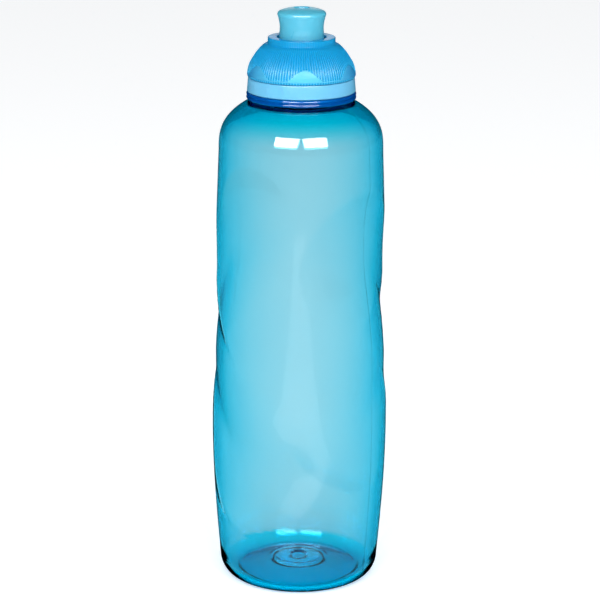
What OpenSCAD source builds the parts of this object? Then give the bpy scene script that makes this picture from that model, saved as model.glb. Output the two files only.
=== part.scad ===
/* [Body] */
// outer radius of the standing ring, where the foot corner starts
foot_radius = 26; // [24:0.5:30]
// radius of the rounded foot corner
foot_corner = 8.4; // [6:0.1:10]
// outer radius just above the foot corner
heel_radius = 32.7; // [30:0.1:35]
// outer radius at the widest part of the hips
hip_radius = 35.85; // [34:0.05:37]
// height of the widest part of the hips
hip_z = 66; // [55:1:80]
// outer radius where the shoulder starts to turn in
shoulder_radius = 33.1; // [31:0.1:35]
// height where the shoulder starts to turn in
shoulder_z = 180; // [170:1:188]
// height of the top of the shoulder, under the neck ring
shoulder_top_z = 200.8; // [198:0.1:204]
// how far the shoulder turns in between those two heights
shoulder_drop = 13.6; // [12:0.1:15]
// thickness of the blown wall
wall = 1.1; // [0.8:0.1:1.6]
// thickness of the base, inside the standing ring
base_wall = 2.4; // [1.5:0.1:3]
// height of the middle of the push-up in the base
push_up = 3.8; // [2:0.1:6]

/* [Grip dishes] */
// height of the middle of each helical dish
dish_z = 96; // [85:1:105]
// half of the height a dish covers
dish_half_height = 71; // [60:1:76]
// depth of a dish half way up
dish_depth = 1.3; // [0.5:0.1:3]
// extra depth of a dish towards each end
dish_end_depth = 2.4; // [0:0.1:3]
// azimuth of the middle of the first dish, from the front towards +X
dish_azimuth = 98; // [60:1:130]
// azimuth each end of a dish twists away from its middle
dish_twist = 47; // [20:1:60]
// half of the angle a dish covers half way up
dish_half_angle = 35; // [25:1:45]

/* [Neck] */
// outer radius of the beaded ring under the collar
ring_radius = 22; // [21:0.1:23]
// height of the beaded ring
ring_height = 2.9; // [2:0.1:4]
// outer radius of the neck wall
neck_radius = 15.8; // [15:0.1:17]
// bore radius of the neck
neck_bore = 14.3; // [13:0.1:15]
// height of the sealing rim of the neck
neck_top_z = 213.3; // [211:0.1:215]
// rise of the neck thread for one full turn
thread_lead = 8; // [6:0.5:10]
// how far the neck thread stands off the neck wall
thread_depth = 0.8; // [0.5:0.1:1]

/* [Collar] */
// outer radius of the collar band at its lower edge
band_radius = 21.75; // [21:0.05:23]
// height of the collar band
band_height = 5.5; // [4:0.1:7]
// gap between the neck ring and the collar
collar_gap = 0.3; // [0.2:0.1:0.6]
// bore radius of the collar skirt around the neck thread
skirt_bore = 17; // [16.8:0.1:18]
// outer radius of the collar skirt under the dome
skirt_radius = 18.6; // [18:0.1:19]
// thickness of the seal washer
seal_height = 1; // [0.6:0.1:1.5]
// thickness of the collar deck
deck_height = 1.7; // [1.2:0.1:2.5]
// height of the raised rim round the deck
rim_height = 0.9; // [0.5:0.1:1]
// radius of the post the spout slides on
post_radius = 6.2; // [5.5:0.1:6.4]
// height of the top of the post
post_top_z = 229.8; // [228:0.1:231]

/* [Dome] */
// largest outer radius of the dome
dome_radius = 21.75; // [21.4:0.05:22]
// outer radius of the boss on top of the dome
boss_radius = 13.5; // [12.6:0.1:13.9]
// height of the flat top of the boss
boss_top_z = 225.6; // [225.4:0.1:227]
// radius of the opening in the boss
boss_hole = 9.75; // [9.4:0.05:10.5]

/* [Spout] */
// outer radius of the spout tube
spout_radius = 8.9; // [8.5:0.1:9.1]
// outer radius of the spout lip
lip_radius = 9.7; // [9.3:0.1:10]
// overall height with the spout closed
closed_height = 237.2; // [236.4:0.1:240]
// radius of the drinking hole
drink_hole = 3.1; // [2:0.1:4]
// how far the spout rises when the dome is twisted open
spout_travel = 4.5; // [3:0.1:5]
// radius of the two cam lugs
lug_radius = 1; // [0.8:0.1:1.2]

/* [Hidden] */
round_fn = 96;
columns = 60;
wall_rows = 22;
shoulder_rows = 8;

collar_z = shoulder_top_z + ring_height + collar_gap;
band_top_z = collar_z + band_height;
deck_z = neck_top_z + seal_height;
deck_top_z = deck_z + deck_height;
dome_z = band_top_z + 0.3;
sleeve_bore = spout_radius + 0.4;
sleeve_radius = 11.4;
sleeve_z = deck_top_z + 0.4;
lug_z = deck_top_z + 2.6;
spout_z = deck_top_z + 1;
spout_bore = 6.6;
chamber_z = closed_height - 4;
plug_top_z = closed_height - 0.6;
push_up_radius = foot_radius - 2.4;
bead_radius = 0.75;
land_top_z = 223.4;
key_z = land_top_z + spout_travel + 0.4;
ring_groove_z = 222.4;
post_bore = 4.2;
thread_pitch = thread_lead / 2;
thread_z = collar_z + 1.6;

function clamp1(v) = max(-1, min(1, v));

// An angle brought to between -90 and 90, because there is a dish every 180 degrees.
function mod180(angle) = angle - 180 * round(angle / 180);

// Radius of the plain bottle, without its dishes, at a height.
function plain_radius(z) =
    z < hip_z
    ? heel_radius + (hip_radius - heel_radius)
        * sin(90 * (z - foot_corner) / (hip_z - foot_corner))
    : z < shoulder_z
    ? hip_radius - (hip_radius - shoulder_radius)
        * (1 - cos(90 * (z - hip_z) / (shoulder_z - hip_z)))
    : shoulder_radius - shoulder_drop * pow((z - shoulder_z) / (shoulder_top_z - shoulder_z), 3);

// Height of a dish wall between its edge (u = 0) and its valley (u = 1).
// A crisp wall leaves the edge as a ridge; a soft one rolls over both ends.
function dish_wall(u, crisp) = crisp * u * (2 - u) + (1 - crisp) * u * u * (3 - 2 * u);

// The left wall is crisp near the top of a dish and again below its middle.
function crisp_left(s) = min(1, max(0, (s - 0.41) / 0.2, (0.03 - s) / 0.11));

// Depth of the dishes at an azimuth and a height. s runs from -1 to 1 along a dish.
function dish_at(azimuth, z) =
    let (s = (z - dish_z) / dish_half_height)
    abs(s) >= 1 ? 0 :
    let (
        fade = 1 - pow(s, 8),
        half = (dish_half_angle + 18 * sin(180 * abs(s))) * sqrt(fade),
        middle = dish_azimuth - dish_twist * sin(90 * clamp1(2 * s)),
        valley = dish_azimuth - dish_twist * 0.91 * pow(sin(90 * clamp1(s / 0.75)), 3),
        near = middle + mod180(azimuth - middle),
        left = (near - middle + half) / (valley - middle + half),
        right = (middle + half - near) / (middle + half - valley),
        wall_height = near < valley ? dish_wall(left, crisp_left(s)) : dish_wall(right, crisp_left(-s))
    )
    left <= 0 || right <= 0 || half <= abs(valley - middle) ? 0 :
    (dish_depth + dish_end_depth * pow(sin(90 * clamp1(abs(s) / 0.6)), 2)) * fade * wall_height;

// Outline of the outside, from the middle of the base to the neck ring.
corner = [for (a = [15:15:75])
    [foot_radius + (heel_radius - foot_radius) * sin(a), foot_corner * (1 - cos(a))]];
outline = concat(
    [for (r = [3, 10, 17, push_up_radius - 2]) [r, push_up * (1 - pow(r / push_up_radius, 2.2))]],
    [[push_up_radius, 0], [foot_radius, 0]],
    corner,
    [for (k = [0:wall_rows])
        let (z = foot_corner + (shoulder_z - foot_corner) * k / wall_rows) [plain_radius(z), z]],
    [for (k = [1:shoulder_rows])
        let (z = shoulder_z + (shoulder_top_z - shoulder_z) * pow(k / shoulder_rows, 0.75))
        [plain_radius(z), z]]);

// How far a point moves inwards, square to the outline, to reach the inside of the wall.
function inward(i) =
    let (
        a = outline[max(0, i - 1)],
        b = outline[min(len(outline) - 1, i + 1)],
        d = (b - a) / norm(b - a),
        depth = wall + (base_wall - wall) * max(0, 1 - outline[i][1] / foot_corner)
    )
    [-d[1] * depth, d[0] * depth];

function ring_points(r, z, move) = [for (k = [0:columns - 1])
    let (azimuth = 360 * k / columns, dished = r + move[0] - dish_at(azimuth, z))
    [dished * sin(azimuth), -dished * cos(azimuth), z + move[1]]];

function ring_faces(from, to) = [for (k = [0:columns - 1]) each
    let (n = (k + 1) % columns, a = from * columns, b = to * columns)
    [[a + k, a + n, b + n], [a + k, b + n, b + k]]];

module body_shell() {
    rows = len(outline);
    outside = [for (p = outline) ring_points(p[0], p[1], [0, 0])];
    lip = [ring_points(17.4, shoulder_top_z, [0, 0]), ring_points(17.4, shoulder_top_z - 1.2, [0, 0])];
    inside = [for (i = [rows - 2:-1:0]) ring_points(outline[i][0], outline[i][1], inward(i))];
    rings = concat(outside, lip, inside);
    last = len(rings) - 1;
    polyhedron(
        points = [for (ring = rings) each ring],
        faces = concat(
            [[for (k = [0:columns - 1]) k]],
            [for (i = [0:last - 1]) each [for (f = ring_faces(i, i + 1)) [f[2], f[1], f[0]]]],
            [[for (k = [columns - 1:-1:0]) last * columns + k]]),
        convexity = 8);
}

// One helical ridge, from the root radius to the crest radius.
module helix(root, crest, root_half, crest_half, start, sweep, z, lead, steps) {
    section = [[root, -root_half], [crest, -crest_half], [crest, crest_half], [root, root_half]];
    points = [for (i = [0:steps]) for (p = section)
        let (a = start + sweep * i / steps)
        [p[0] * cos(a), p[0] * sin(a), z + lead * sweep * i / steps / 360 + p[1]]];
    faces = [for (i = [0:steps - 1]) for (j = [0:3]) each
        let (a = 4 * i + j, b = 4 * i + (j + 1) % 4)
        [[a, a + 4, b + 4], [a, b + 4, b]]];
    polyhedron(points, concat([[0, 1, 2, 3]], faces,
        [[4 * steps + 3, 4 * steps + 2, 4 * steps + 1, 4 * steps]]), convexity = 6);
}

module bottle_body() color("SteelBlue", 0.6) {
    body_shell();
    translate([0, 0, shoulder_top_z]) rotate_extrude($fn = round_fn) difference() {
        union() {
            square([ring_radius - 0.5, ring_height]);
            for (z = [bead_radius, ring_height - bead_radius])
                translate([ring_radius - bead_radius, z]) circle(bead_radius, $fn = 32);
            square([neck_radius, neck_top_z - shoulder_top_z]);
        }
        translate([0, -1]) square([neck_bore, 40]);
    }
    for (turn = [0, 180])
        helix(neck_radius - 0.5, neck_radius + thread_depth, 0.9, 0.35, turn, 250, thread_z,
            thread_lead, 30);
}

module neck_seal() color("DimGray")
    translate([0, 0, neck_top_z]) difference() {
        cylinder(r = skirt_bore - 0.4, h = seal_height, $fn = round_fn);
        translate([0, 0, -1]) cylinder(r = neck_bore - 0.1, h = seal_height + 2, $fn = round_fn);
    }

module post_valve() {
    translate([0, 0, 225]) cylinder(r = 2.3, h = chamber_z + 1 - 225, $fn = 32);
    translate([0, 0, chamber_z + 0.6])
        cylinder(r = drink_hole - 0.1, h = plug_top_z - chamber_z - 0.6, $fn = 48);
    for (turn = [30:120:270]) rotate([0, 0, turn])
        translate([1, -0.6, 225]) cube([4, 1.2, post_top_z - 225]);
}

module screw_collar() color("PaleTurquoise") {
    rotate_extrude($fn = round_fn) polygon([
        [skirt_bore, collar_z], [band_radius, collar_z], [band_radius - 0.4, band_top_z],
        [skirt_radius, band_top_z], [skirt_radius, band_top_z + 1.9],
        [skirt_radius + 0.9, band_top_z + 2.3], [skirt_radius + 0.9, band_top_z + 2.9],
        [skirt_radius, band_top_z + 3.6], [skirt_radius, deck_top_z - 0.9],
        [skirt_radius - 0.9, deck_top_z], [skirt_radius - 0.9, deck_top_z + rim_height],
        [skirt_radius - 1.9, deck_top_z + rim_height], [skirt_radius - 1.9, deck_top_z],
        [post_radius, deck_top_z], [post_radius, ring_groove_z - 0.6],
        [post_radius - 0.9, ring_groove_z - 0.6], [post_radius - 0.9, ring_groove_z + 0.6],
        [post_radius, ring_groove_z + 0.6], [post_radius, post_top_z],
        [post_bore, post_top_z], [post_bore, deck_z], [skirt_bore, deck_z]]);
    for (side = [0, 180]) rotate([0, 0, side])
        translate([post_radius - 0.6, -0.8, key_z]) cube([1.7, 1.6, post_top_z - key_z]);
    post_valve();
    for (turn = [0, 180])
        helix(skirt_bore + 0.5, skirt_bore - 0.8, 0.9, 0.35, turn + 60, 150,
            thread_z + thread_pitch / 2 + thread_lead * 60 / 360, thread_lead, 18);
}

module spout_o_ring() color("DimGray")
    translate([0, 0, ring_groove_z]) rotate_extrude($fn = round_fn)
        translate([spout_bore - 0.05 - 0.55, 0]) circle(0.55, $fn = 32);

module twist_dome() color("DeepSkyBlue", 0.6) difference() {
    rotate_extrude($fn = round_fn) polygon([
        [skirt_radius + 0.35, dome_z], [dome_radius - 0.35, dome_z], [dome_radius, dome_z + 1],
        [dome_radius - 0.2, dome_z + 2.7], [dome_radius - 0.85, dome_z + 5],
        [dome_radius - 1.95, dome_z + 7], [dome_radius - 3.3, dome_z + 9.1],
        [dome_radius - 4.65, dome_z + 10.8], [dome_radius - 5.85, dome_z + 12],
        [dome_radius - 6.85, dome_z + 12.8], [boss_radius, dome_z + 13.6],
        [boss_radius, boss_top_z - 0.3], [boss_radius - 0.3, boss_top_z],
        [boss_hole + 0.4, boss_top_z], [boss_hole, boss_top_z - 0.5], [sleeve_bore, boss_top_z - 1.2],
        [sleeve_bore, sleeve_z], [sleeve_radius, sleeve_z], [sleeve_radius, dome_z + 12.1],
        [dome_radius - 7.65, dome_z + 12.1], [dome_radius - 6.25, dome_z + 10.8],
        [dome_radius - 4.85, dome_z + 9.1], [dome_radius - 3.5, dome_z + 7.1],
        [dome_radius - 2.45, dome_z + 5], [dome_radius - 1.75, dome_z + 3.1],
        [dome_radius - 1.4, dome_z + 2], [dome_radius - 1.4, dome_z + 1.2],
        [skirt_radius + 0.35, dome_z + 0.7]]);
    for (turn = [0, 180])
        helix(sleeve_bore - 0.8, sleeve_radius + 0.01, lug_radius + 0.35, lug_radius + 0.35,
            turn + 98, -106, lug_z - spout_travel * 8 / 90, -spout_travel * 4, 24);
}

module spout() color("Turquoise") {
    difference() {
        rotate_extrude($fn = round_fn) polygon([
            [spout_bore, spout_z], [spout_radius, spout_z], [spout_radius, closed_height - 10],
            [spout_radius - 0.15, closed_height - 9], [spout_radius - 0.2, closed_height - 8],
            [spout_radius - 0.1, closed_height - 6.7], [spout_radius + 0.15, closed_height - 5.2],
            [lip_radius - 0.25, closed_height - 4], [lip_radius, closed_height - 2.9],
            [lip_radius - 0.15, closed_height - 2], [lip_radius - 0.8, closed_height - 1.2],
            [lip_radius - 2.1, closed_height - 0.6], [lip_radius - 4, closed_height - 0.15],
            [drink_hole + 0.9, closed_height], [drink_hole + 0.3, closed_height],
            [drink_hole, closed_height - 0.3], [drink_hole, chamber_z + 2.2], [spout_bore, chamber_z]]);
        for (side = [0, 180]) rotate([0, 0, side])
            translate([5, -1.2, land_top_z]) cube([2.7, 2.4, chamber_z - land_top_z]);
    }
    for (side = [90, 270]) rotate([0, 0, side])
        translate([spout_radius - 1, 0, lug_z]) rotate([0, 90, 0])
            cylinder(r = lug_radius, h = 2.9, $fn = 32);
}

bottle_body();
neck_seal();
screw_collar();
spout_o_ring();
twist_dome();
spout();
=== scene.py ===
import math

import bmesh
import bpy
from mathutils import Matrix, Vector


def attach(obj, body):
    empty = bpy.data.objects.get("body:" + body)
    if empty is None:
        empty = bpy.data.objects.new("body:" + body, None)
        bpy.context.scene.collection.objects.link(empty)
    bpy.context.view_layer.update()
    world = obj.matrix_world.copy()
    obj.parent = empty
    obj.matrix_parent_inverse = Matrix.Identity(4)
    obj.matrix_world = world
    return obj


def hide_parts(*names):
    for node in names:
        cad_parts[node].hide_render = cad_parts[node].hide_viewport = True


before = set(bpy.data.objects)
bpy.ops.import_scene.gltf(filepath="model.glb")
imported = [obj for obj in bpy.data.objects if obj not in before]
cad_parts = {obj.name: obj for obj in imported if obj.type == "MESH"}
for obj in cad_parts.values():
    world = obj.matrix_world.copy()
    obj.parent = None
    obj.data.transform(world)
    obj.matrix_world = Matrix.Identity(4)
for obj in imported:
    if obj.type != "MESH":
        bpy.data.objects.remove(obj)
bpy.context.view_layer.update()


# The studio is a pale floor in a white room, with a softbox on each side of the camera.
# It only lights the bottle, so nothing in this section belongs to the object.
MM = 0.001
scene = bpy.context.scene
scene.view_settings.view_transform = "Standard"

white_room = bpy.data.worlds.new("white_room")
white_room.use_nodes = True
background = white_room.node_tree.nodes["Background"]
background.inputs["Color"].default_value = (1.0, 1.0, 1.0, 1.0)
background.inputs["Strength"].default_value = 0.48
scene.world = white_room
white_room.cycles_visibility.glossy = False


def aimed_at(place, target, roll=0.0):
    """A matrix that puts a camera or a lamp at a place, looking at the target."""
    turn = (Vector(target) - Vector(place)).to_track_quat("-Z", "Y").to_matrix().to_4x4()
    return Matrix.Translation(place) @ turn @ Matrix.Rotation(math.radians(roll), 4, "Z")


camera_data = bpy.data.cameras.new("camera")
camera_data.sensor_width = 36.0
camera_data.lens = 150.7
camera = bpy.data.objects.new("camera", camera_data)
camera.matrix_world = aimed_at((0.0, -0.990, 0.390), (0.0, 0.0, 0.117), roll=0.36)
scene.collection.objects.link(camera)
scene.camera = camera

softbox_distance, softbox_width, softbox_height = 1.25, 0.72, 0.62
softbox_rise = math.radians(29)
for side in (-1, 1):
    azimuth = math.radians(22 * side)
    for part, watts, distance in (("fill", 9.0, softbox_distance + 0.1), ("shine", 34.0, softbox_distance)):
        place = (
            distance * math.cos(softbox_rise) * math.sin(azimuth),
            -distance * math.cos(softbox_rise) * math.cos(azimuth),
            0.19 + distance * math.sin(softbox_rise),
        )
        softbox = bpy.data.lights.new("softbox_" + part, "AREA")
        softbox.shape = "RECTANGLE"
        softbox.size, softbox.size_y = softbox_width, softbox_height
        softbox.energy = watts
        lamp = bpy.data.objects.new("softbox_" + part, softbox)
        lamp.matrix_world = aimed_at(place, (0.0, 0.0, 0.19))
        lamp.visible_glossy = part == "shine"
        lamp.visible_diffuse = part == "fill"
        lamp.visible_transmission = part == "shine"
        scene.collection.objects.link(lamp)

cards = (
    ("front_card", 0.24, 0.75, 0.55, (0.0, -0.52, 0.001), (0.0, -0.52, 1.0)),
    ("back_card", 0.36, 0.45, 0.60, (0.0, 1.30, 0.48), (0.0, 0.0, 0.20)),
)
for name, width, height, watts, place, target in cards:
    panel = bpy.data.lights.new(name, "AREA")
    panel.shape = "RECTANGLE"
    panel.size, panel.size_y = width, height
    panel.energy = watts
    card = bpy.data.objects.new(name, panel)
    card.matrix_world = aimed_at(place, target)
    card.visible_camera = card.visible_diffuse = card.visible_transmission = False
    scene.collection.objects.link(card)

floor_mesh = bmesh.new()
bmesh.ops.create_grid(floor_mesh, x_segments=2, y_segments=2, size=6.0)
bmesh.ops.translate(floor_mesh, verts=floor_mesh.verts, vec=(0.0, 0.0, -0.0003))
floor = bpy.data.objects.new("floor", bpy.data.meshes.new("floor"))
floor_mesh.to_mesh(floor.data)
floor_mesh.free()
scene.collection.objects.link(floor)
floor.visible_glossy = False
floor_paint = bpy.data.materials.new("pale_floor")
floor_paint.use_nodes = True
floor_shader = floor_paint.node_tree.nodes["Principled BSDF"]
floor_shader.inputs["Base Color"].default_value = (0.93, 0.94, 0.95, 1.0)
floor_shader.inputs["Roughness"].default_value = 0.9
floor_shader.inputs["Specular IOR Level"].default_value = 0.0
floor_shader.inputs["Emission Color"].default_value = (0.97, 0.985, 1.0, 1.0)
floor_shader.inputs["Emission Strength"].default_value = 0.42
floor.data.materials.append(floor_paint)


# The body is one blow-moulded bottle in clear blue plastic: a pushed-up base, a thin wall with two
# helical grip dishes, a shoulder, a beaded ring, and a neck with a two-start right-hand thread.
# It is trimmed at the neck's rim and has a faint parting line down each side.
FOOT_RADIUS, FOOT_CORNER, HEEL_RADIUS = 26.0, 8.4, 32.7
HIP_RADIUS, HIP_Z = 35.85, 66.0
SHOULDER_RADIUS, SHOULDER_Z, SHOULDER_TOP_Z, SHOULDER_DROP = 33.1, 180.0, 200.8, 13.6
RING_RADIUS, RING_TOP_Z = 22.0, 203.7
NECK_RADIUS, NECK_BORE, NECK_TOP_Z = 15.8, 14.3, 213.3
BEAD_RADIUS = 0.75
THREAD_LEAD, THREAD_Z, THREAD_DEPTH = 8.0, 205.6, 0.8
THREAD_HALF_ROOT, THREAD_HALF_CREST = 0.9, 0.35
WALL, EXTRA_WALL, BASE_THICKNESS = 1.1, 0.8, 3.2
THICK_FOOT_Z, THICK_SHOULDER_Z, THICK_SHOULDER_HEIGHT = 12.0, 183.0, 18.0
PUSH_UP, PUSH_UP_RADIUS = 3.8, 23.6
DISH_Z, DISH_HALF_HEIGHT = 96.0, 71.0
DISH_AZIMUTH, DISH_TWIST, DISH_HALF_ANGLE = 98.0, 47.0, 35.0
DISH_DEPTH, DISH_END_DEPTH = 1.3, 2.4


def plain_radius(z):
    """Outer radius of the wall and shoulder, without the dishes, at a height."""
    if z < HIP_Z:
        rise = math.sin(math.pi / 2 * (z - FOOT_CORNER) / (HIP_Z - FOOT_CORNER))
        return HEEL_RADIUS + (HIP_RADIUS - HEEL_RADIUS) * rise
    if z < SHOULDER_Z:
        fall = 1 - math.cos(math.pi / 2 * (z - HIP_Z) / (SHOULDER_Z - HIP_Z))
        return HIP_RADIUS - (HIP_RADIUS - SHOULDER_RADIUS) * fall
    return SHOULDER_RADIUS - SHOULDER_DROP * ((z - SHOULDER_Z) / (SHOULDER_TOP_Z - SHOULDER_Z)) ** 3


def clamp(value, low=-1.0, high=1.0):
    return max(low, min(high, value))


def sine(degrees):
    return math.sin(math.radians(degrees))


def dish_wall(u, crisp):
    """Depth of a dish's side from its edge (u = 0) to its valley (u = 1), as a share."""
    return crisp * u * (2 - u) + (1 - crisp) * u * u * (3 - 2 * u)


def crisp_left(s):
    return clamp(max((s - 0.41) / 0.2, (0.03 - s) / 0.11), 0.0)


def dish_at(azimuth, z):
    """How far the wall is pressed in at an azimuth in degrees and a height."""
    s = (z - DISH_Z) / DISH_HALF_HEIGHT
    if abs(s) >= 1:
        return 0.0
    fade = 1 - s**8
    half = (DISH_HALF_ANGLE + 18 * sine(180 * abs(s))) * math.sqrt(fade)
    middle = DISH_AZIMUTH - DISH_TWIST * sine(90 * clamp(2 * s))
    valley = DISH_AZIMUTH - DISH_TWIST * 0.91 * sine(90 * clamp(s / 0.75)) ** 3
    across = azimuth - middle
    near = middle + across - 180 * round(across / 180)
    left = (near - middle + half) / (valley - middle + half)
    right = (middle + half - near) / (middle + half - valley)
    if left <= 0 or right <= 0 or half <= abs(valley - middle):
        return 0.0
    share = dish_wall(left, crisp_left(s)) if near < valley else dish_wall(right, crisp_left(-s))
    return (DISH_DEPTH + DISH_END_DEPTH * sine(90 * clamp(abs(s) / 0.6)) ** 2) * fade * share


def arc(centre_r, centre_z, radius, start, end, steps):
    """Points (r, z) along an arc, by angle in degrees from the outward direction."""
    angles = [math.radians(start + (end - start) * i / steps) for i in range(steps + 1)]
    return [(centre_r + radius * math.cos(a), centre_z + radius * math.sin(a)) for a in angles]


def steps_between(start, end, step):
    count = max(1, round(abs(end - start) / step))
    return [start + (end - start) * i / count for i in range(count + 1)]


def push_up(r):
    """Height of the pushed-up underside at a radius, with its gate nub and moulded ring."""
    dome = PUSH_UP * (1 - (r / PUSH_UP_RADIUS) ** 2.2)
    nub = 0.6 * clamp((3.4 - r) / 0.5, 0.0)
    ring = 0.35 * clamp(1 - abs(r - 10.5) / 0.7, 0.0)
    return dome - nub - ring


def inward(points, depths):
    """The points moved square to their outline, into the material, by a depth for each."""
    moved = []
    for i, (r, z) in enumerate(points):
        (r0, z0), (r1, z1) = points[max(0, i - 1)], points[min(len(points) - 1, i + 1)]
        length = math.hypot(r1 - r0, z1 - z0)
        moved.append((r - (z1 - z0) / length * depths[i], z + (r1 - r0) / length * depths[i]))
    return moved


def place_of(point):
    """A point's radius in millimetres, azimuth in degrees from the front, and height in millimetres."""
    azimuth = math.degrees(math.atan2(point.x, -point.y))
    return math.hypot(point.x, point.y) / MM, azimuth, point.z / MM


def scale_radius(vertex, share):
    vertex.co.x *= share
    vertex.co.y *= share


def rotate(solid, degrees, axis="Z"):
    """Turns a whole bmesh about an axis through the origin."""
    turn = Matrix.Rotation(math.radians(degrees), 3, axis)
    bmesh.ops.rotate(solid, cent=(0, 0, 0), matrix=turn, verts=solid.verts)


def turned(outline, steps=192):
    """A bmesh turned from an outline in millimetres, as (radius, height) points."""
    solid = bmesh.new()
    points = [solid.verts.new((r * MM, 0.0, z * MM)) for r, z in outline]
    edges = [solid.edges.new(pair) for pair in zip(points, points[1:])]
    if outline[0][0] > 0:
        edges.append(solid.edges.new((points[-1], points[0])))
    bmesh.ops.spin(
        solid, geom=points + edges, cent=(0, 0, 0), axis=(0, 0, 1),
        angle=math.tau, steps=steps, use_merge=True,
    )
    bmesh.ops.remove_doubles(solid, verts=solid.verts, dist=1e-7)
    bmesh.ops.recalc_face_normals(solid, faces=solid.faces)
    return solid


def coil(section, start, sweep, lead, steps):
    """A closed helical bar: a section (r, z) in millimetres, swept from a start angle in degrees."""
    bar = bmesh.new()
    points = [bar.verts.new((r * MM, 0.0, z * MM)) for r, z in section]
    edges = [bar.edges.new((points[i - 1], points[i])) for i in range(len(points))]
    rotate(bar, start)
    bmesh.ops.spin(
        bar, geom=points + edges, cent=(0, 0, 0), axis=(0, 0, 1), angle=math.radians(sweep),
        dvec=(0, 0, lead * sweep / 360 / steps * MM), steps=steps,
    )
    bmesh.ops.holes_fill(bar, edges=[e for e in bar.edges if e.is_boundary], sides=0)
    bmesh.ops.recalc_face_normals(bar, faces=bar.faces)
    return bar


def thread_section(root, depth, z):
    """The trapezoid (r, z) of a thread that stands a depth off its root radius, centred at a height."""
    crest = root + depth
    return [
        (root, z - THREAD_HALF_ROOT), (crest, z - THREAD_HALF_CREST),
        (crest, z + THREAD_HALF_CREST), (root, z + THREAD_HALF_ROOT),
    ]


def join(target, other):
    """Adds the other bmesh to the target, and frees it."""
    carrier = bpy.data.meshes.new("carrier")
    other.to_mesh(carrier)
    other.free()
    target.from_mesh(carrier)
    bpy.data.meshes.remove(carrier)


def finished(solid, name, crease=35):
    """Makes the bmesh a smooth-shaded object at the origin, with edges over the crease angle sharp."""
    mesh = bpy.data.meshes.new(name)
    solid.to_mesh(mesh)
    solid.free()
    mesh.shade_smooth()
    mesh.set_sharp_from_angle(angle=math.radians(crease))
    piece = bpy.data.objects.new(name, mesh)
    scene.collection.objects.link(piece)
    return piece


underside = [(r, push_up(r)) for r in steps_between(0.0, PUSH_UP_RADIUS, 0.55)]
foot = [(FOOT_RADIUS, 0.0)] + [
    (FOOT_RADIUS + (HEEL_RADIUS - FOOT_RADIUS) * sine(a), FOOT_CORNER * (1 - sine(90 - a)))
    for a in steps_between(9, 81, 8)
]
heights = steps_between(FOOT_CORNER, SHOULDER_Z, 1.5) + steps_between(SHOULDER_Z, SHOULDER_TOP_Z, 0.9)[1:]
side_wall = [(plain_radius(z), z) for z in heights]
ring_beads = (
    arc(RING_RADIUS - BEAD_RADIUS, SHOULDER_TOP_Z + BEAD_RADIUS, BEAD_RADIUS, -60, 62, 8)
    + arc(RING_RADIUS - BEAD_RADIUS, RING_TOP_Z - BEAD_RADIUS, BEAD_RADIUS, -62, 90, 9)
)
neck = (
    arc(NECK_RADIUS + 0.6, RING_TOP_Z + 0.6, 0.6, 270, 180, 5)
    + arc(NECK_RADIUS - 0.4, NECK_TOP_Z - 0.4, 0.4, 0, 90, 4)
    + arc(NECK_BORE + 0.4, NECK_TOP_Z - 0.4, 0.4, 90, 180, 4)
    + [(NECK_BORE, 208.0)]
    + arc(NECK_BORE + 1.2, SHOULDER_TOP_Z, 1.2, 180, 262, 7)
    + [(16.6, SHOULDER_TOP_Z - 1.5), (18.4, SHOULDER_TOP_Z - 2.2)]
)
outside = foot + side_wall
thickness = [
    WALL
    + EXTRA_WALL * clamp((THICK_FOOT_Z - z) / THICK_FOOT_Z, 0.0)
    + EXTRA_WALL * clamp((z - THICK_SHOULDER_Z) / THICK_SHOULDER_HEIGHT, 0.0) ** 1.5
    for r, z in outside
]
inside = inward(outside, thickness)[::-1][1:]
inner_floor = [
    (r, push_up(min(r, PUSH_UP_RADIUS)) + BASE_THICKNESS)
    for r in steps_between(PUSH_UP_RADIUS + 0.5, 0.0, 0.9)
]
body_solid = turned(underside + outside + ring_beads + neck + inside + inner_floor, steps=200)

for vertex in body_solid.verts:
    radius, azimuth, height = place_of(vertex.co)
    if radius > 25 and height > 20:
        scale_radius(vertex, 1 - dish_at(azimuth, height) / radius)

neck_thread = thread_section(NECK_RADIUS - 0.05, THREAD_DEPTH + 0.05, THREAD_Z)
for start in (0, 180):
    join(body_solid, coil(neck_thread, start, 250, THREAD_LEAD, 60))

body = finished(body_solid, "clear_body")


class Socket:
    """Wraps a shader socket so that its maths can be written as Python expressions."""

    def __init__(self, paint, link):
        self.paint = paint
        self.link = link

    def _math(self, operation, *values):
        return self.paint.node("ShaderNodeMath", {"operation": operation}, dict(enumerate(values)))

    def __add__(self, other):
        return self._math("ADD", self, other)

    def __sub__(self, other):
        return self._math("SUBTRACT", self, other)

    def __rsub__(self, other):
        return self._math("SUBTRACT", other, self)

    def __mul__(self, other):
        return self._math("MULTIPLY", self, other)

    def __truediv__(self, other):
        return self._math("DIVIDE", self, other)

    def __abs__(self):
        return self._math("ABSOLUTE", self)

    __radd__ = __add__
    __rmul__ = __mul__


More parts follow.
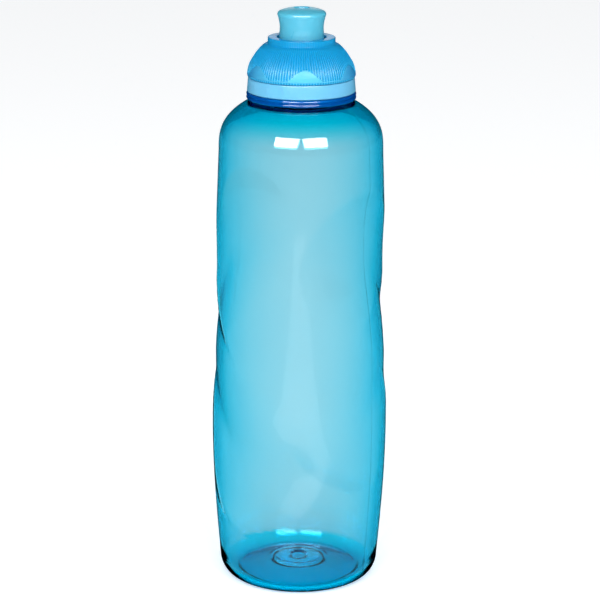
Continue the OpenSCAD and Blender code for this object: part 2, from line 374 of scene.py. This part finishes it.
class Paint:
    """A material with one Principled shader, whose sockets take plain values or links."""

    def __init__(self, name):
        self.material = bpy.data.materials.new(name)
        self.material.use_nodes = True
        self.tree = self.material.node_tree
        self.shader = self.tree.nodes["Principled BSDF"]

    def set(self, shader, values):
        for key, value in values.items():
            socket = shader.inputs[key]
            if isinstance(value, Socket):
                self.tree.links.new(value.link, socket)
            elif isinstance(value, (tuple, list)) and len(value) == 3 and socket.type == "RGBA":
                socket.default_value = (*value, 1.0)
            else:
                socket.default_value = value

    def node(self, kind, settings=None, values=None, output=0):
        """Adds any node: its settings first, then its sockets' values or links."""
        made = self.tree.nodes.new(kind)
        for key, value in (settings or {}).items():
            if key == "stops":
                elements = made.color_ramp.elements
                while len(elements) < len(value):
                    elements.new(1.0)
                for element, (position, colour) in zip(elements, value):
                    element.position = position
                    element.color = (*colour, 1.0)
            else:
                setattr(made, key, value)
        self.set(made, values or {})
        return Socket(self, made.outputs[output])

    def finish(self, **values):
        self.set(self.shader, {key.replace("_", " "): value for key, value in values.items()})
        return self.material

    def place(self):
        return self.node("ShaderNodeTexCoord", output="Object")

    def axes(self):
        """The three object coordinates, each as its own value."""
        split = self.node("ShaderNodeSeparateXYZ", None, {"Vector": self.place()}).link.node
        return [Socket(self, split.outputs[axis]) for axis in "XYZ"]

    def noise(self, scale, detail, stretch=(1.0, 1.0, 1.0)):
        """Fractal noise from 0 to 1, fixed to the piece. Scale is in features a metre."""
        spread = self.node("ShaderNodeMapping", None, {"Vector": self.place(), "Scale": stretch})
        return self.node(
            "ShaderNodeTexNoise", {"noise_dimensions": "3D"},
            {"Vector": spread, "Scale": scale, "Detail": detail},
        )

    def blend(self, factor, first, second, how="MIX"):
        """A colour between two, by a factor."""
        return self.node(
            "ShaderNodeMix", {"data_type": "RGBA", "blend_type": how},
            {0: factor, 6: first, 7: second}, output=2,
        )

    def ramp(self, value, low, high, **limits):
        """A smooth step as a value goes from low to high, from 0 to 1 unless limits say otherwise."""
        return self.node(
            "ShaderNodeMapRange", {"interpolation_type": "SMOOTHSTEP"},
            {"Value": value, "From Min": low, "From Max": high}
            | {name.replace("_", " "): limit for name, limit in limits.items()},
        )

    def bump(self, height, distance):
        return self.node("ShaderNodeBump", None, {"Strength": 1.0, "Distance": distance, "Height": height})


# Clear plastic tints the light more where the wall is thick or seen edge on. The neck ring is a
# solid bead of the same plastic, so it looks a deeper blue, and its darker copy of the plastic is
# also painted shade for the dark inside seen through it.
SEAM_AZIMUTH, SEAM_WIDTH = 56.0, 0.00022

body_paint = Paint("blown_clear_blue")
edge_on = body_paint.node("ShaderNodeLayerWeight", None, {"Blend": 0.5}, output=1)
tints = [
    (0.0, (0.92, 0.90, 0.90)), (0.22, (0.70, 0.88, 0.91)), (0.36, (0.50, 0.85, 0.91)),
    (0.51, (0.29, 0.82, 0.91)), (0.66, (0.03, 0.72, 0.86)), (1.0, (0.0, 0.48, 0.72)),
]
tint = body_paint.node("ShaderNodeValToRGB", {"stops": tints}, {"Fac": edge_on})
body_cloud = body_paint.noise(35.0, 3.0)
ripple = body_paint.noise(160.0, 2.0, stretch=(1.0, 1.0, 0.35))
x, y, z = body_paint.axes()
seam_turn = math.radians(SEAM_AZIMUTH)
off_seam = abs(x * math.cos(seam_turn) + y * math.sin(seam_turn)) / SEAM_WIDTH
seam = 1 - body_paint.node("ShaderNodeMath", {"operation": "MINIMUM"}, {0: off_seam, 1: 1.0})
# The tint loses its red towards the neck and the base: near the neck partly the thicker plastic, partly
# painted shade for the dark inside seen through the shoulder; at the base only deeper towards the bottom.
neck_thickness_and_shade = body_paint.ramp(z, 0.186, 0.196)
near_base = body_paint.ramp(z, 0.0066, 0.0040)
clouded = body_paint.blend(body_cloud, tint, (0.90, 0.96, 0.98), "MULTIPLY")
absorption = body_paint.node(
    "ShaderNodeVolumeAbsorption", None, {"Color": (0.22, 0.82, 0.93), "Density": 600.0}
)
body_output = body_paint.tree.nodes["Material Output"]
body_paint.tree.links.new(absorption.link, body_output.inputs["Volume"])
body.data.materials.append(
    body_paint.finish(
        Base_Color=body_paint.blend(neck_thickness_and_shade + near_base, clouded, (0.0, 0.94, 1.0), "MULTIPLY"),
        Roughness=0.02 + body_cloud * 0.03,
        Transmission_Weight=1.0,
        IOR=1.5,
        Normal=body_paint.bump(ripple * 0.03 + seam * 0.25, 0.00008),
    )
)
# A darker copy of the body plastic for the ring: partly the thick bead, partly painted shade.
ring_blue_and_shade_paint = Paint("ring_deep_blue_and_shade")
ring_cloud = ring_blue_and_shade_paint.noise(60.0, 3.0)
body.data.materials.append(
    ring_blue_and_shade_paint.finish(
        Base_Color=ring_blue_and_shade_paint.blend(ring_cloud, (0.0, 0.10, 0.46), (0.0, 0.08, 0.38)),
        Roughness=0.05 + ring_cloud * 0.06,
        Transmission_Weight=0.35,
        IOR=1.5,
    )
)
for face in body.data.polygons:
    radius, azimuth, height = place_of(face.center)
    on_ring = SHOULDER_TOP_Z < height < RING_TOP_Z + 0.05 and radius > NECK_RADIUS + 0.3
    face.material_index = 1 if on_ring else 0
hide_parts("bottle_body")
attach(body, "bottle")


# The collar is one opaque light cyan moulding: the band seen under the dome, the threaded skirt,
# the deck, and the upright valve post with its plug. It screws onto the neck.
COLLAR_Z, BAND_TOP_Z, BAND_RADIUS = 204.0, 209.5, 21.75
SKIRT_BORE, SKIRT_RADIUS = 17.0, 18.6
DECK_Z, DECK_TOP_Z, RIM_TOP_Z = 214.3, 216.0, 216.9
POST_RADIUS, POST_BORE, POST_TOP_Z = 6.2, 4.2, 229.8
GROOVE_Z, PLUG_TOP_Z = 222.4, 236.6


def soften(solid, edges):
    """Rounds the given edges by 0.15 mm."""
    bmesh.ops.bevel(
        solid, geom=edges, offset=0.15 * MM, segments=2, affect="EDGES", profile=0.5, material=-1
    )


def bar(low, high, turn):
    """A box between two corners in millimetres, with bevelled edges, turned about the bottle's axis."""
    block = bmesh.new()
    bmesh.ops.create_cube(block, size=1.0)
    size = Vector(high) - Vector(low)
    bmesh.ops.scale(block, vec=size * MM, verts=block.verts)
    bmesh.ops.translate(block, vec=(Vector(high) + Vector(low)) / 2 * MM, verts=block.verts)
    soften(block, block.edges[:])
    rotate(block, turn)
    return block


collar_outline = (
    [(SKIRT_BORE, COLLAR_Z + 0.3), (SKIRT_BORE + 0.3, COLLAR_Z)]
    + arc(BAND_RADIUS - 0.3, COLLAR_Z + 0.3, 0.3, -90, 0, 4)
    + arc(BAND_RADIUS - 0.7, BAND_TOP_Z - 0.3, 0.3, 5, 90, 4)
    + [(SKIRT_RADIUS, BAND_TOP_Z), (SKIRT_RADIUS, BAND_TOP_Z + 1.9)]
    + arc(SKIRT_RADIUS + 0.4, BAND_TOP_Z + 2.6, 0.5, -60, 60, 6)
    + [(SKIRT_RADIUS, BAND_TOP_Z + 3.6)]
    + arc(SKIRT_RADIUS - 0.9, DECK_TOP_Z - 0.9, 0.9, 0, 80, 6)
    + arc(SKIRT_RADIUS - 1.2, RIM_TOP_Z - 0.3, 0.3, 0, 90, 4)
    + arc(SKIRT_RADIUS - 1.6, RIM_TOP_Z - 0.3, 0.3, 90, 180, 4)
    + [(SKIRT_RADIUS - 1.9, DECK_TOP_Z)]
    + arc(POST_RADIUS + 0.6, DECK_TOP_Z + 0.6, 0.6, 270, 180, 5)
    + [(POST_RADIUS, GROOVE_Z - 0.6), (POST_RADIUS - 0.9, GROOVE_Z - 0.6)]
    + [(POST_RADIUS - 0.9, GROOVE_Z + 0.6), (POST_RADIUS, GROOVE_Z + 0.6)]
    + arc(POST_RADIUS - 0.3, POST_TOP_Z - 0.3, 0.3, 0, 90, 4)
    + arc(POST_BORE + 0.3, POST_TOP_Z - 0.3, 0.3, 90, 180, 4)
    + [(POST_BORE, DECK_Z), (SKIRT_BORE, DECK_Z)]
)
collar_solid = turned(collar_outline)
valve_stem = (
    [(0.0, 225.0), (2.3, 225.0), (2.3, 233.4), (3.0, 234.0)]
    + arc(2.7, PLUG_TOP_Z - 0.3, 0.3, 0, 90, 4)
    + [(0.0, PLUG_TOP_Z)]
)
join(collar_solid, turned(valve_stem, steps=64))
for turn in (30, 150, 270):
    join(collar_solid, bar((1.5, -0.6, 225.0), (5.0, 0.6, POST_TOP_Z - 0.2), turn))
for turn in (0, 180):
    join(collar_solid, bar((POST_RADIUS - 0.6, -0.8, 228.3), (POST_RADIUS + 1.1, 0.8, POST_TOP_Z), turn))
inner_thread_z = THREAD_Z + THREAD_LEAD * (1 / 4 + 60 / 360)
inner_thread = thread_section(SKIRT_BORE + 0.3, -THREAD_DEPTH - 0.3, inner_thread_z)
for start in (60, 240):
    join(collar_solid, coil(inner_thread, start, 150, THREAD_LEAD, 36))
collar = finished(collar_solid, "cyan_collar_moulding")


def moulded_cyan(name, light, deep, roughness):
    """Opaque moulded plastic: slow colour drift, fine sheen variation and a very fine surface grain."""
    paint = Paint(name)
    drift = paint.noise(45.0, 3.0)
    grain = paint.noise(2600.0, 2.0)
    flow = paint.noise(220.0, 4.0, stretch=(1.0, 1.0, 0.25))
    return paint.finish(
        Base_Color=paint.blend(drift, light, deep),
        Roughness=roughness + flow * 0.12,
        Subsurface_Weight=0.25,
        Subsurface_Radius=(0.4, 0.9, 1.0),
        Subsurface_Scale=0.002,
        IOR=1.5,
        Normal=paint.bump(grain * 0.5 + flow, 0.00003),
    )


collar.data.materials.append(
    moulded_cyan("collar_cyan", light=(0.155, 0.48, 0.72), deep=(0.125, 0.44, 0.69), roughness=0.14)
)
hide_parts("screw_collar")
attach(collar, "cap")


# The two seals are soft silicone rings: a washer pressed between the neck's rim and the deck,
# and an O-ring snapped into the groove of the valve post.
seal_paint = Paint("soft_seal")
seal_dust = seal_paint.noise(900.0, 3.0)
seal_material = seal_paint.finish(
    Base_Color=seal_paint.blend(seal_dust, (0.62, 0.66, 0.68), (0.50, 0.55, 0.58)),
    Roughness=0.45 + seal_dust * 0.2,
    Normal=seal_paint.bump(seal_dust, 0.00002),
)
for node_name in ("neck_seal", "spout_o_ring"):
    node_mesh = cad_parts[node_name].data
    node_mesh.materials.clear()
    node_mesh.materials.append(seal_material)


# The dome is one clear blue moulding that turns on the collar: 120 fine grip ribs, six smooth
# arches above its lower edge, a flat boss on top, and a sleeve inside whose slots drive the spout.
DOME_Z, DOME_RADIUS = 209.8, 21.75
BOSS_RADIUS, BOSS_TOP_Z, BOSS_HOLE = 13.5, 225.6, 9.75
SLEEVE_BORE, SLEEVE_RADIUS, SLEEVE_Z = 9.3, 11.4, 216.4
RIB_COUNT, RIB_HEIGHT = 120, 0.24
ARCH_STEP, ARCH_AZIMUTH, ARCH_HALF_ANGLE, ARCH_Z, ARCH_HEIGHT = 60.0, 4.0, 19.0, 211.2, 4.4
LUG_Z, SPOUT_TRAVEL, SLOT_HALF_WIDTH = 218.6, 4.5, 1.35
TWIST, SLOT_SPARE = 90.0, 8.0


def curve_through(points, step):
    """A smooth Catmull-Rom curve through (r, z) points, with a point about every step."""
    ends = [points[0], *points, points[-1]]
    smooth = []
    for p0, p1, p2, p3 in zip(ends, ends[1:], ends[2:], ends[3:]):
        for t in steps_between(0.0, 1.0, step / max(step, math.dist(p1, p2)))[:-1]:
            smooth.append(tuple(
                0.5 * (2 * b + (c - a) * t + (2 * a - 5 * b + 4 * c - d) * t**2
                       + (3 * b - a - 3 * c + d) * t**3)
                for a, b, c, d in zip(p0, p1, p2, p3)
            ))
    return smooth + [points[-1]]


skin_points = [
    (-0.35, 0.0), (-0.03, 0.9), (-0.22, 2.7), (-0.87, 5.0), (-1.97, 7.0), (-3.32, 9.1),
    (-4.67, 10.8), (-5.87, 12.0), (-6.87, 12.8), (BOSS_RADIUS + 0.25 - DOME_RADIUS, 13.3),
]
inner_points = [
    (-7.65, 12.1), (-6.23, 10.8), (-4.83, 9.1), (-3.48, 7.1), (-2.43, 5.0), (-1.73, 3.1), (-1.4, 2.0)
]
dome_skin = curve_through([(DOME_RADIUS + r, DOME_Z + z) for r, z in skin_points], 0.42)
dome_inner = curve_through([(DOME_RADIUS + r, DOME_Z + z) for r, z in inner_points], 0.8)
dome_outline = (
    dome_skin
    + arc(BOSS_RADIUS + 0.25, DOME_Z + 13.75, 0.25, 270, 180, 3)
    + arc(BOSS_RADIUS - 0.3, BOSS_TOP_Z - 0.3, 0.3, 0, 90, 4)
    + arc(BOSS_HOLE + 0.5, BOSS_TOP_Z - 0.5, 0.5, 90, 180, 4)
    + [(SLEEVE_BORE, BOSS_TOP_Z - 1.2)]
    + [(SLEEVE_BORE, SLEEVE_Z + 0.2), (SLEEVE_BORE + 0.2, SLEEVE_Z)]
    + [(SLEEVE_RADIUS - 0.2, SLEEVE_Z), (SLEEVE_RADIUS, SLEEVE_Z + 0.2)]
    + arc(SLEEVE_RADIUS + 0.6, DOME_Z + 11.5, 0.6, 180, 90, 4)
    + dome_inner
    + [(DOME_RADIUS - 1.4, DOME_Z + 1.2), (SKIRT_RADIUS + 0.4, DOME_Z + 0.7)]
    + [(SKIRT_RADIUS + 0.4, DOME_Z + 0.2), (SKIRT_RADIUS + 0.6, DOME_Z)]
)
dome_solid = turned(dome_outline, steps=RIB_COUNT * 4)


def above_arch(azimuth, height):
    """How far a height is above the top of the smooth arch at an azimuth."""
    arch_angle = (azimuth - ARCH_AZIMUTH + ARCH_STEP / 2) % ARCH_STEP - ARCH_STEP / 2
    arch_rise = max(0.0, math.cos(math.radians(90 * clamp(arch_angle / ARCH_HALF_ANGLE)))) ** 1.2
    return height - ARCH_Z - ARCH_HEIGHT * arch_rise


for vertex in dome_solid.verts:
    radius, azimuth, height = place_of(vertex.co)
    skin_radius = min(dome_skin, key=lambda point: abs(point[1] - height))[0]
    if radius < skin_radius - 0.35 or not DOME_Z + 1.6 < height < DOME_Z + 12.8:
        continue
    lower_fade = clamp(above_arch(azimuth, height) / 0.25, 0.0)
    upper_fade = clamp((DOME_Z + 12.6 - height) / 1.2, 0.0)
    wave = 0.5 + 0.5 * math.cos(math.radians((azimuth - ARCH_AZIMUTH) * RIB_COUNT))
    scale_radius(vertex, 1 - RIB_HEIGHT * (1 - wave) * lower_fade * upper_fade / radius)

dome = finished(dome_solid, "clear_dome")

slot_inner, slot_outer = SLEEVE_BORE - 0.6, SLEEVE_RADIUS + 0.05
slot_z = LUG_Z - SPOUT_TRAVEL * SLOT_SPARE / TWIST
slot_low, slot_high = slot_z - SLOT_HALF_WIDTH, slot_z + SLOT_HALF_WIDTH
slot_section = [
    (slot_inner, slot_low), (slot_outer, slot_low), (slot_outer, slot_high), (slot_inner, slot_high)
]
slot_cutters = bmesh.new()
for lug_azimuth in (90, 270):
    slot_start, slot_sweep = lug_azimuth + SLOT_SPARE, -TWIST - 2 * SLOT_SPARE
    join(slot_cutters, coil(slot_section, slot_start, slot_sweep, -SPOUT_TRAVEL * 360 / TWIST, 32))
slots = finished(slot_cutters, "slot_cutters")
slot_cut = dome.modifiers.new("cam_slots", "BOOLEAN")
slot_cut.operation = "DIFFERENCE"
slot_cut.object = slots
depsgraph = bpy.context.evaluated_depsgraph_get()
slotted_mesh = bpy.data.meshes.new_from_object(dome.evaluated_get(depsgraph))
dome.modifiers.clear()
dome.data = slotted_mesh
bpy.data.objects.remove(slots)

dome.data.materials.clear()
dome_paint = Paint("moulded_clear_blue")
x, y, z = dome_paint.axes()
around = dome_paint.node("ShaderNodeMath", {"operation": "ARCTAN2"}, {0: x, 1: y * -1.0})
# Painted highlight: the rib crests are painted a lighter blue, most strongly low on the dome and fading
# towards the boss.
rib_wave = dome_paint.node(
    "ShaderNodeMath", {"operation": "COSINE"}, {0: (around - math.radians(ARCH_AZIMUTH)) * RIB_COUNT}
)
rib_crest_highlight = dome_paint.node("ShaderNodeMath", {"operation": "POWER"}, {0: rib_wave * 0.5 + 0.5, 1: 3.0})
rib_highlight_fade = dome_paint.ramp(z, (DOME_Z + 9.0) * MM, (DOME_Z + 2.5) * MM, To_Min=0.12, To_Max=0.75)
dome_cloud = dome_paint.noise(70.0, 3.0)
dome_blue = dome_paint.blend(dome_cloud, (0.002, 0.34, 0.66), (0.0, 0.28, 0.60))
dome.data.materials.append(
    dome_paint.finish(
        Base_Color=dome_paint.blend(rib_crest_highlight * rib_highlight_fade, dome_blue, (0.16, 0.66, 0.92)),
        Roughness=0.20 + dome_cloud * 0.10,
        Transmission_Weight=0.20,
        Specular_IOR_Level=0.2,
        IOR=1.3,
        Normal=dome_paint.bump(dome_paint.noise(300.0, 2.0), 0.00002),
    )
)
# The smooth arches are painted pale blue face-on, a painted reflection, and deep blue edge-on, painted
# shade, by the viewing angle.
window_paint = Paint("dome_window")
window_cloud = window_paint.noise(70.0, 3.0)
arch_edge_on_shade = window_paint.node("ShaderNodeLayerWeight", None, {"Blend": 0.6}, output=1)
dome.data.materials.append(
    window_paint.finish(
        Base_Color=window_paint.blend(arch_edge_on_shade, (0.10, 0.56, 0.80), (0.0, 0.16, 0.46)),
        Roughness=0.26 + window_cloud * 0.08,
        Transmission_Weight=0.20,
        Specular_IOR_Level=0.15,
        IOR=1.3,
    )
)
for face in dome.data.polygons:
    radius, azimuth, height = place_of(face.center)
    in_wall = radius > DOME_RADIUS - 3.2 and height > DOME_Z + 0.9
    face.material_index = 1 if in_wall and above_arch(azimuth, height) < 0 else 0
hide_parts("twist_dome")
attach(dome, "dome")


# The spout is one light cyan mouthpiece that slides on the valve post. Its lip is domed round the
# drinking hole, and two lugs low on its tube run in the slots of the dome's sleeve.
SPOUT_RADIUS, SPOUT_BORE, SPOUT_Z, CHAMBER_Z = 8.9, 6.6, 217.0, 233.2
DRINK_HOLE, LIP_RADIUS, CLOSED_HEIGHT = 3.1, 9.7, 237.2
LUG_RADIUS, LUG_LENGTH = 1.0, 2.9

spout_skin = curve_through(
    [(SPOUT_RADIUS, 226.0), (SPOUT_RADIUS - 0.04, 227.2), (SPOUT_RADIUS - 0.18, 229.2),
     (SPOUT_RADIUS - 0.08, 230.8), (SPOUT_RADIUS + 0.16, 232.2), (LIP_RADIUS - 0.3, 233.6)], 0.4
)
spout_lip = curve_through(
    [(LIP_RADIUS - 0.03, 234.3), (LIP_RADIUS - 0.03, 235.0), (LIP_RADIUS - 0.5, 235.7),
     (LIP_RADIUS - 1.75, 236.3), (6.2, 236.8), (4.4, 237.12), (3.6, CLOSED_HEIGHT)], 0.35
)
spout_outline = (
    [(SPOUT_BORE + 0.2, SPOUT_Z), (SPOUT_RADIUS - 0.2, SPOUT_Z), (SPOUT_RADIUS, SPOUT_Z + 0.2)]
    + spout_skin
    + spout_lip
    + arc(DRINK_HOLE + 0.3, CLOSED_HEIGHT - 0.35, 0.3, 90, 180, 4)
    + [(DRINK_HOLE, CHAMBER_Z + 2.3), (SPOUT_BORE, CHAMBER_Z), (SPOUT_BORE, SPOUT_Z + 0.2)]
)
spout_solid = turned(spout_outline, steps=160)
for turn in (0, 180):
    lug = bmesh.new()
    bmesh.ops.create_cone(
        lug, cap_ends=True, segments=32,
        radius1=LUG_RADIUS * MM, radius2=LUG_RADIUS * MM, depth=LUG_LENGTH * MM,
    )
    soften(lug, [edge for edge in lug.edges if any(len(face.verts) > 4 for face in edge.link_faces)])
    rotate(lug, 90, "X")
    bmesh.ops.translate(lug, vec=(0, (SPOUT_RADIUS + 0.45) * MM, LUG_Z * MM), verts=lug.verts)
    rotate(lug, turn)
    join(spout_solid, lug)
spout = finished(spout_solid, "cyan_spout_moulding")
spout.data.materials.append(
    moulded_cyan("spout_cyan", light=(0.09, 0.46, 0.62), deep=(0.068, 0.42, 0.58), roughness=0.24)
)
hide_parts("spout")
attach(spout, "mouthpiece")
